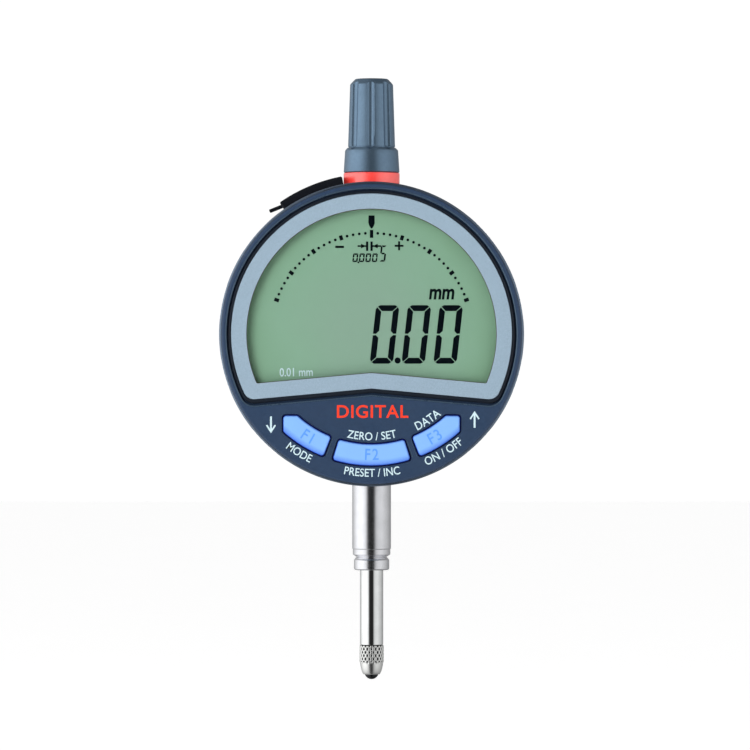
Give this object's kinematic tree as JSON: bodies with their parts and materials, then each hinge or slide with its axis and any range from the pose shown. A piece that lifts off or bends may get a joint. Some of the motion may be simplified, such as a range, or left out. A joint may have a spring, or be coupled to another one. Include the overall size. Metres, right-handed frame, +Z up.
{
  "type": "digital dial indicator",
  "caption": "Digital dial indicator: round body with a turning display unit and keys, a sprung measuring spindle in a clamping stem, a screw-on cap and a lug back.",
  "frame": {"origin": "on the spindle axis, at the middle of the clamped stem", "axes": "+Z up the spindle towards the cap, -Y the display side, +Y the lug side, +X the viewer's right"},
  "size_m": [0.062, 0.0363, 0.1236],
  "materials": {
    "navy_body": "fine satin, dark blue",
    "window_frame": "fine metallic grey-blue paint",
    "cap_grey": "smooth satin grey-blue",
    "ring_red": "bright red",
    "key_blue": "light blue, satin",
    "rubber_black": "matt black",
    "lcd_green": "grey-green liquid crystal glass",
    "clear_window": "clear",
    "steel_bright": "fine ground steel",
    "steel_dark": "dark polished carbide",
    "bronze": "turned bronze",
    "board_green": "circuit board",
    "plastic_black": "moulded black",
    "plastic_white": "moulded white",
    "flex_film": "amber film"
  },
  "bodies": {
    "housing": {"main_housing": "navy_body", "back_cover": "navy_body", "case_gasket": "rubber_black", "cover_screw_1": "steel_bright", "cover_screw_2": "steel_bright", "cover_screw_3": "steel_bright", "cover_screw_4": "steel_bright", "stem": "steel_bright", "stem_lower_bush": "bronze", "stem_upper_bush": "bronze", "wiper_collar": "steel_bright", "dust_wiper": "rubber_black", "stop_cushion": "rubber_black", "cap_neck": "steel_bright", "neck_bush": "bronze", "neck_ring": "ring_red", "rotation_guide": "plastic_white", "board_screw_1": "steel_bright", "board_screw_2": "steel_bright", "main_board": "board_green", "signal_chip": "plastic_black", "detector_head": "plastic_black", "flex_cable": "flex_film", "data_socket": "plastic_black", "battery": "steel_bright", "battery_contact": "bronze", "swivel_hub": "steel_bright", "swivel_clip": "steel_bright", "swivel_washer": "steel_bright", "swivel_stop_pin": "steel_dark"},
    "measuring_spindle": {"spindle": "steel_bright", "contact_point": "steel_bright", "contact_ball": "steel_dark", "stop_collar": "bronze", "scale_holder": "plastic_white", "linear_scale": "clear_window", "guide_pin": "steel_dark", "return_spring": "steel_bright"},
    "display_unit": {"display_case": "navy_body", "grip_ring": "navy_body", "window_mask": "window_frame", "window_lens": "clear_window", "lcd_glass": "lcd_green", "lcd_tray": "plastic_white", "zebra_strip_upper": "rubber_black", "zebra_strip_lower": "rubber_black", "display_board": "board_green", "key_mat": "plastic_white", "display_back_plate": "plastic_black", "display_screw_1": "steel_bright", "display_screw_2": "steel_bright", "display_screw_3": "steel_bright"},
    "left_key": {"key_1": "key_blue"},
    "middle_key": {"key_2": "key_blue"},
    "right_key": {"key_3": "key_blue"},
    "top_cap": {"spindle_cap": "cap_grey"},
    "socket_cover": {"connector_cover": "rubber_black"},
    "battery_door": {"battery_cover": "navy_body", "battery_seal": "rubber_black"}
  },
  "joints": [
    {"name": "spindle_slide", "type": "slide", "parent": "housing", "child": "measuring_spindle", "axis": [0, 0, 1], "range_m": [0, 0.0127], "stiffness_N_per_m": 40, "springref_m": -0.035, "deforming": ["return_spring"]},
    {"name": "display_swivel", "type": "hinge", "parent": "housing", "child": "display_unit", "pos_m": [0, -0.0078, 0.0375], "axis": [0, 1, 0], "range_deg": [-165, 165]},
    {"name": "left_key_press", "type": "slide", "parent": "display_unit", "child": "left_key", "axis": [0, 1, 0], "range_m": [0, 0.0004], "stiffness_N_per_m": 2500, "springref_m": -0.0002},
    {"name": "middle_key_press", "type": "slide", "parent": "display_unit", "child": "middle_key", "axis": [0, 1, 0], "range_m": [0, 0.0004], "stiffness_N_per_m": 2500, "springref_m": -0.0002},
    {"name": "right_key_press", "type": "slide", "parent": "display_unit", "child": "right_key", "axis": [0, 1, 0], "range_m": [0, 0.0004], "stiffness_N_per_m": 2500, "springref_m": -0.0002},
    {"name": "cap_lift", "type": "slide", "parent": "housing", "child": "top_cap", "axis": [0, 0, 1], "range_m": [0, 0.025]},
    {"name": "connector_cover_pull", "type": "slide", "parent": "housing", "child": "socket_cover", "axis": [-0.3875, 0, 0.9219], "range_m": [0, 0.012]},
    {"name": "battery_cover_turn", "type": "hinge", "parent": "housing", "child": "battery_door", "pos_m": [-0.018, 0.0103, 0.0375], "axis": [0, 1, 0], "range_deg": [0, 60]}
  ]
}
